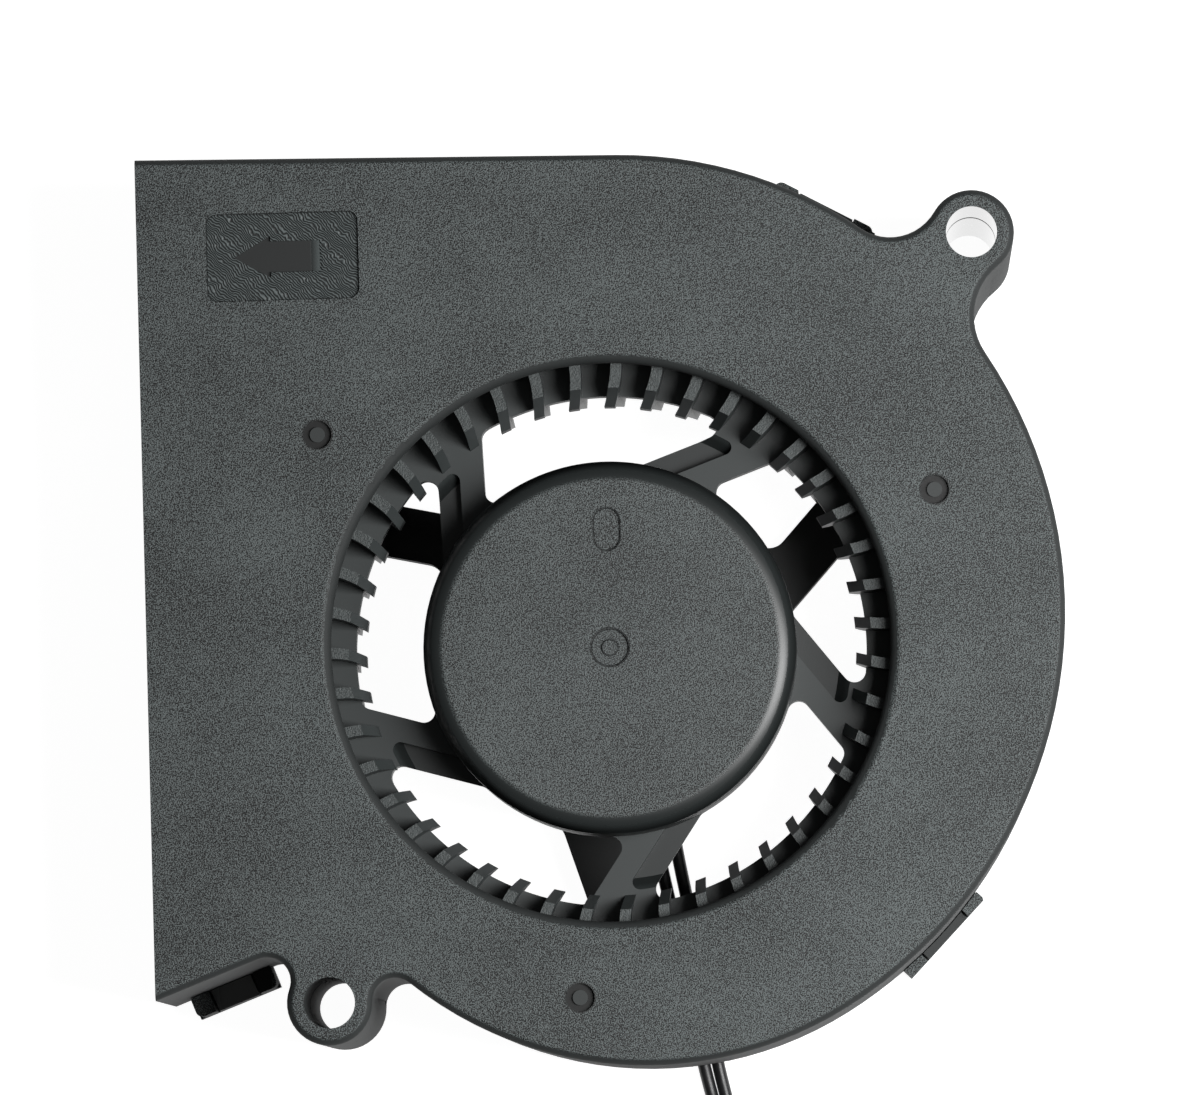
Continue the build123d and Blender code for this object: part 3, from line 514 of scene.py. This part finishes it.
def box_mask(finish, low, high):
    """1 inside a box and 0 outside it, with its two corners in millimetres."""
    mask = 1.0
    for along, bottom, top in zip(finish.split(finish.place), low, high):
        mask = along.above(bottom * MM) * along.below(top * MM) * mask
    return mask


casing = eroded_plastic("casing plastic", tone=0.058, roughness=0.55, edge_shade=0.36, wall=0.75)
across, along, high = casing.split(casing.place)
panel = box_mask(casing, *PANEL)
arrow = box_mask(casing, *ARROW)
shaded_clip_mask = box_mask(casing, *SHADED_CLIP)
dimples = 0.0
shade_lines = outline(casing, (-33.4, 42.3), half=(8.05, 4.65), corner=1.1, width=0.22) * panel
for x, y in DIMPLES:
    low = (x - DIMPLE_REACH, y - DIMPLE_REACH, DIMPLE_LEVELS[0])
    top = (x + DIMPLE_REACH, y + DIMPLE_REACH, DIMPLE_LEVELS[1])
    dimples = box_mask(casing, low, top) + dimples
    shade_lines = shade_lines + ring(casing, (x, y), DIMPLE_RADIUS, width=0.3)
shade_lines = (shade_lines * casing.flat).at_most(1.0)
seam = 1 - abs(high - BORE_SEAM).between(*SEAM_HALF)
bore = box_mask(casing, *UPPER_BORE) * (1 - casing.flat) * (1 - seam)
shaded_struts = (across * across + along * along).root().below(STRUT_REACH) * high.below(STRUT_TOP)

# %% Casing plastic with its panel
WAVE_SHAPE = {"wave_type": "BANDS", "bands_direction": "DIAGONAL"}
WAVE_SIZES = {"Scale": 1700.0, "Distortion": 16.0, "Detail": 2.0, "Detail Scale": 0.4}
PANEL_STOPS = (0.1, grey(0.012)), (0.95, grey(0.125))
ARROW_SHADE_TONE, ARROW_LIGHT_TONE, ARROW_CHANGE = 0.012, 0.16, (-30.5 * MM, -29.0 * MM)
DIMPLE_SHADE_TONE, BOSS_TONE, BOSS_TOP = 0.002, 0.03, (32.6 * MM, 32.75 * MM)
CLIP_SHADE_TONE, STRUT_SHADE_TONE = 0.003, 0.008
LINE_SHADE_TONE, LINE_SHADE_SHARE = 0.004, 0.8
BORE_ROUGHNESS = 0.05
PIT_DEPTH = 0.09 * MM

waves = casing.add("ShaderNodeTexWave", WAVE_SHAPE, {"Vector": casing.place, **WAVE_SIZES}, "Fac")
# Painted light and shade: the arrow's floor is dark and its sloped right end light.
arrow_light_and_shade = casing.blend(across.between(*ARROW_CHANGE), grey(ARROW_SHADE_TONE), grey(ARROW_LIGHT_TONE))
# Painted shade: the sunk ring of each dimple is nearly black, its boss less dark.
dimple_shade_tint = casing.blend(high.between(*BOSS_TOP), grey(DIMPLE_SHADE_TONE), grey(BOSS_TONE))
tint = casing.blend(panel, casing.colour, casing.ramp(waves, *PANEL_STOPS))
tint = casing.blend(arrow, tint, arrow_light_and_shade)
tint = casing.blend(dimples, tint, dimple_shade_tint)
# Painted shade: the lower clip is coloured nearly black.
tint = casing.blend(shaded_clip_mask, tint, grey(CLIP_SHADE_TONE))
# Painted shade: the struts behind the wheel are coloured dark.
tint = casing.blend(shaded_struts, tint, grey(STRUT_SHADE_TONE))
# Painted shade: thin dark lines round the panel and the dimples.
tint = casing.blend(shade_lines * LINE_SHADE_SHARE, tint, grey(LINE_SHADE_TONE))
smooth = (arrow + dimples + shaded_clip_mask).at_most(1.0)
skin = casing.blend(panel, casing.skin, waves * casing.flat) * (1 - smooth) * (1 - shaded_struts)
casing_plastic = casing.set(
    Base_Color=tint, Roughness=casing.rough * (1 - bore) + bore * BORE_ROUGHNESS,
    Coat_Weight=bore, Normal=casing.bump(skin, PIT_DEPTH))
print(casing_plastic.name, "has", len(casing.tree.nodes), "nodes")

# %% [markdown]
# ## The finishes inside
#
# The motor, the board, the plug and the wires are small, and most of them are seen only
# when the blower is taken apart. Each has one colour, a roughness and a fine speck that
# moves both a little, because no real part is perfectly even. Metals differ from plastics
# only in their Metallic value.

# %% Plain finishes of the small and inner pieces
SPECK_STOPS = (0.3, 0.7)
SPECK_GLOSS = 0.2


def plain_finish(name, colour, roughness, metallic=0.0, grain=900, depth=0.01, spread=0.15):
    """One material with a fine speck, whose grain is a noise scale and depth is in mm."""
    finish = Finish(name)
    speck = finish.noise(grain, detail=3.0)
    dark = (*(c * (1 - spread) for c in colour), 1.0)
    light = (*(min(c * (1 + spread), 1.0) for c in colour), 1.0)
    return finish.set(
        Base_Color=finish.ramp(speck, *zip(SPECK_STOPS, (dark, light))),
        Roughness=(speck - 0.5) * SPECK_GLOSS + roughness, Metallic=metallic,
        Normal=finish.bump(speck, depth * MM))


finishes = {
    "casing_plastic": casing_plastic,
    "rotor_plastic": wheel_plastic,
    "black_plastic": plain_finish("black plastic", (0.02, 0.02, 0.021), 0.45),
    "insulator_plastic": plain_finish("insulator plastic", (0.72, 0.7, 0.64), 0.5),
    "connector_plastic": plain_finish("connector plastic", (0.8, 0.78, 0.72), 0.4, spread=0.03),
    "tube_brass": plain_finish("turned brass", (0.72, 0.52, 0.23), 0.28, 1.0),
    "yoke_steel": plain_finish("plated steel", (0.55, 0.55, 0.56), 0.35, 1.0),
    "core_steel": plain_finish("core steel", (0.3, 0.31, 0.33), 0.45, 1.0),
    "bearing_steel": plain_finish("bearing steel", (0.72, 0.72, 0.73), 0.18, 1.0),
    "tinned_metal": plain_finish("tinned metal", (0.74, 0.74, 0.72), 0.35, 1.0),
    "magnet_ferrite": plain_finish("magnet ferrite", (0.05, 0.05, 0.053), 0.6),
    "copper_wire": plain_finish("enamelled copper", (0.62, 0.22, 0.08), 0.3, 1.0),
    "board_laminate": plain_finish("board mask", (0.02, 0.16, 0.06), 0.35),
    "capacitor_ceramic": plain_finish("capacitor ceramic", (0.45, 0.31, 0.19), 0.5),
    "wire_sheath": plain_finish(
        "wire sheath", (0.012, 0.012, 0.013), 0.38, grain=500, depth=0.02),
}
print("finishes:", len(finishes))

# %% [markdown]
# ## Copper turns on the four arms
#
# The stator has four arms, and round each of them enamelled copper is wound in three
# layers of eight turns. The middle layer lies in the hollows of the first, so it starts
# half a pitch on and has one turn less. Nobody places ninety-odd loops by hand. A small
# tree of Geometry Nodes draws one loop, repeats it along the arm, does so again for each
# layer, and then repeats the whole winding on the four arms. Its sizes are named inputs.

# %% A tree that winds the arms
LAYERS = 3
LOOP_CORNER = 0.5 * MM
RIGHT_ANGLE = math.radians(90)


def new_tree(name, sizes):
    """A geometry tree with named number inputs, and a signal for each of them."""
    tree = bpy.data.node_groups.new(name, "GeometryNodeTree")
    tree.interface.new_socket("Geometry", in_out="OUTPUT", socket_type="NodeSocketGeometry")
    for label, value in sizes.items():
        kind = "NodeSocketInt" if isinstance(value, int) else "NodeSocketFloat"
        socket = tree.interface.new_socket(label, in_out="INPUT", socket_type=kind)
        socket.default_value = value
    given = tree.nodes.new("NodeGroupInput")
    return tree, {label: Signal(tree, given.outputs[label]) for label in sizes}


winding_sizes = {
    "Turns": 8, "Arms": 4, "Pitch": 0.52 * MM, "Wire": 0.5 * MM, "Inner Width": 5.5 * MM,
    "Inner Height": 13.9 * MM, "First Turn": 8.8 * MM, "Middle Height": 17.0 * MM,
}
tree, size = new_tree("arm windings", winding_sizes)
add = partial(add_node, tree)
section = add("GeometryNodeCurvePrimitiveCircle", {"mode": "RADIUS"}, {
    "Resolution": 6, "Radius": size["Wire"] * 0.5})
step = add("ShaderNodeCombineXYZ", {}, {"X": size["Pitch"]})
layers = add("GeometryNodeJoinGeometry")
for layer in range(LAYERS):
    nested = layer % 2
    out = size["Wire"] * (2 * layer + 1)
    loop = add("GeometryNodeCurvePrimitiveQuadrilateral", {"mode": "RECTANGLE"}, {
        "Width": size["Inner Width"] + out, "Height": size["Inner Height"] + out})
    loop = add("GeometryNodeFilletCurve", {"mode": "POLY"}, {
        "Curve": loop, "Count": 3, "Radius": LOOP_CORNER + LOOP_CORNER * layer})
    turn_mesh = add("GeometryNodeCurveToMesh", {}, {"Curve": loop, "Profile Curve": section})
    standing = add("GeometryNodeTransform", {}, {
        "Geometry": turn_mesh, "Rotation": (RIGHT_ANGLE, 0, RIGHT_ANGLE)})
    start = add("ShaderNodeCombineXYZ", {}, {
        "X": size["First Turn"] + size["Pitch"] * (0.5 * nested), "Z": size["Middle Height"]})
    row = add("GeometryNodeMeshLine", {"mode": "OFFSET"}, {
        "Count": size["Turns"] - nested, "Start Location": start, "Offset": step})
    turns = add("GeometryNodeInstanceOnPoints", {}, {"Points": row, "Instance": standing})
    feed(tree, layers.socket.node.inputs[0], turns)

# %% Stand the winding on every arm
facing = add("ShaderNodeCombineXYZ", {}, {"Z": (add("GeometryNodeInputIndex") + 0.5) * RIGHT_ANGLE})
arms = add("GeometryNodePoints", {}, {"Count": size["Arms"]})
wound = add("GeometryNodeInstanceOnPoints", {}, {
    "Points": arms, "Instance": layers, "Rotation": facing})
wound = add("GeometryNodeRealizeInstances", {}, {"Geometry": wound})
wound = add("GeometryNodeSetMaterial", {}, {
    "Geometry": wound, "Material": finishes["copper_wire"]})
feed(tree, tree.nodes.new("NodeGroupOutput").inputs[0], wound)
print("the winding tree has", len(tree.nodes), "nodes")

# %% [markdown]
# The tree works on a stand-in object that holds nothing of its own. Its result is copied
# into a plain mesh and the stand-in is thrown away, so the copper is an ordinary piece
# like every other. It rides on the housing, because the stator stands still in a fan
# whose magnet turns round it.

# %% Bake the tree to a plain mesh
def baked(name, tree, sizes):
    """The tree's result as a plain object at the origin."""
    maker = put_in_scene(name + "_maker", bpy.data.meshes.new(name + "_maker"))
    modifier = maker.modifiers.new(name, "NODES")
    modifier.node_group = tree
    for socket in tree.interface.items_tree:
        if socket.in_out == "INPUT" and socket.name in sizes:
            modifier[socket.identifier] = sizes[socket.name]
    mesh = plain_mesh(maker)
    bpy.data.objects.remove(maker)
    print(name, len(mesh.polygons), "faces")
    return put_in_scene(name, mesh)


copper_turns = baked("copper_turns", tree, winding_sizes)
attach(copper_turns, "housing")
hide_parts("winding_1", "winding_2", "winding_3", "winding_4")

# %% [markdown]
# ## Dressing the measured pieces
#
# The record of the measured model says which kind of material each piece is made of. The
# names of the finishes are the same ones, so one loop dresses them all.

# %% Give every measured node its finish
for entry in frame["record"]["subparts"]:
    node = frame["nodes"][entry["node"]]
    material = finishes[entry["material_slot"]]
    if not node.material_slots:
        node.data.materials.append(material)
    for place in node.material_slots:
        place.material = material
for wire in (wire_1, wire_2):
    wire.data.materials.append(finishes["wire_sheath"])
print("finished", len(frame["nodes"]), "nodes")

# %% [markdown]
# ## The table
#
# The blower lies on a plain white table. The camera and the mirrors see the table as
# nearly white by itself, and the lamps add the rest, so that a faint shadow stays. For
# every other ray it is a dull grey, because a white one would throw its light up into
# the casing.

# %% White table
TABLE_HALF = 1.5
TABLE_TONE = 0.4
TABLE_GLOW = 0.97


def make_table():
    """A square at height zero that glows only for the rays that show it."""
    finish = Finish("white table")
    seen, mirrored, through = (
        finish.add("ShaderNodeLightPath", output=ray)
        for ray in ("Is Camera Ray", "Is Glossy Ray", "Is Transmission Ray"))
    finish.set(Base_Color=(TABLE_TONE, TABLE_TONE, TABLE_TONE, 1.0), Roughness=0.9)
    lit = Signal(finish.tree, finish.shader.outputs[0])
    glow = finish.add("ShaderNodeEmission", {}, {
        "Color": (1.0, 1.0, 1.0, 1.0), "Strength": TABLE_GLOW})
    both = finish.add("ShaderNodeAddShader", {}, {0: lit, 1: glow})
    shown = finish.add("ShaderNodeMixShader", {}, {0: seen + mirrored + through, 1: lit, 2: both})
    feed(finish.tree, finish.tree.nodes["Material Output"].inputs["Surface"], shown)
    corners = [(-1, -1), (1, -1), (1, 1), (-1, 1)]
    mesh = bpy.data.meshes.new("table")
    mesh.from_pydata([(x * TABLE_HALF, y * TABLE_HALF, 0) for x, y in corners], [], [(0, 1, 2, 3)])
    mesh.materials.append(finish.material)
    return put_in_scene("table", mesh)


table = make_table()
print("table:", 2 * TABLE_HALF, "m square")

# %% [markdown]
# ## The light
#
# A small bright lamp to the right stands for a window. It rakes over the pits and gives
# the raised edges their thin highlights. A wide weak one overhead fills the shadows, and
# a nearly black sky adds the last bit from all sides. The colours come out about as they
# are written, because the Standard view adds no look of its own.

# %% Lamps and sky
SKY_STRENGTH = 0.03


def soft_lamp(name, place, size, power):
    """A rectangular lamp that is turned to the middle of the blower."""
    light = bpy.data.lights.new(name, "AREA")
    light.shape = "RECTANGLE"
    light.size, light.size_y = size
    light.energy = power
    lamp = put_in_scene(name, light)
    away = (Vector(place) - Vector((0, 0, 0.02))).to_track_quat("Z", "Y")
    lamp.matrix_world = Matrix.Translation(Vector(place)) @ away.to_matrix().to_4x4()
    print(name, "lamp:", power, "W")


soft_lamp("window", place=(0.24, -0.03, 0.36), size=(0.14, 0.3), power=2.5)
soft_lamp("overhead", place=(0.02, 0.05, 1.25), size=(1.2, 1.2), power=0.45)

sky = bpy.data.worlds.new("sky")
sky.use_nodes = True
bpy.context.scene.world = sky
sky.node_tree.nodes["Background"].inputs["Color"].default_value = (1, 1, 1, 1)
sky.node_tree.nodes["Background"].inputs["Strength"].default_value = SKY_STRENGTH
bpy.context.scene.view_settings.view_transform = "Standard"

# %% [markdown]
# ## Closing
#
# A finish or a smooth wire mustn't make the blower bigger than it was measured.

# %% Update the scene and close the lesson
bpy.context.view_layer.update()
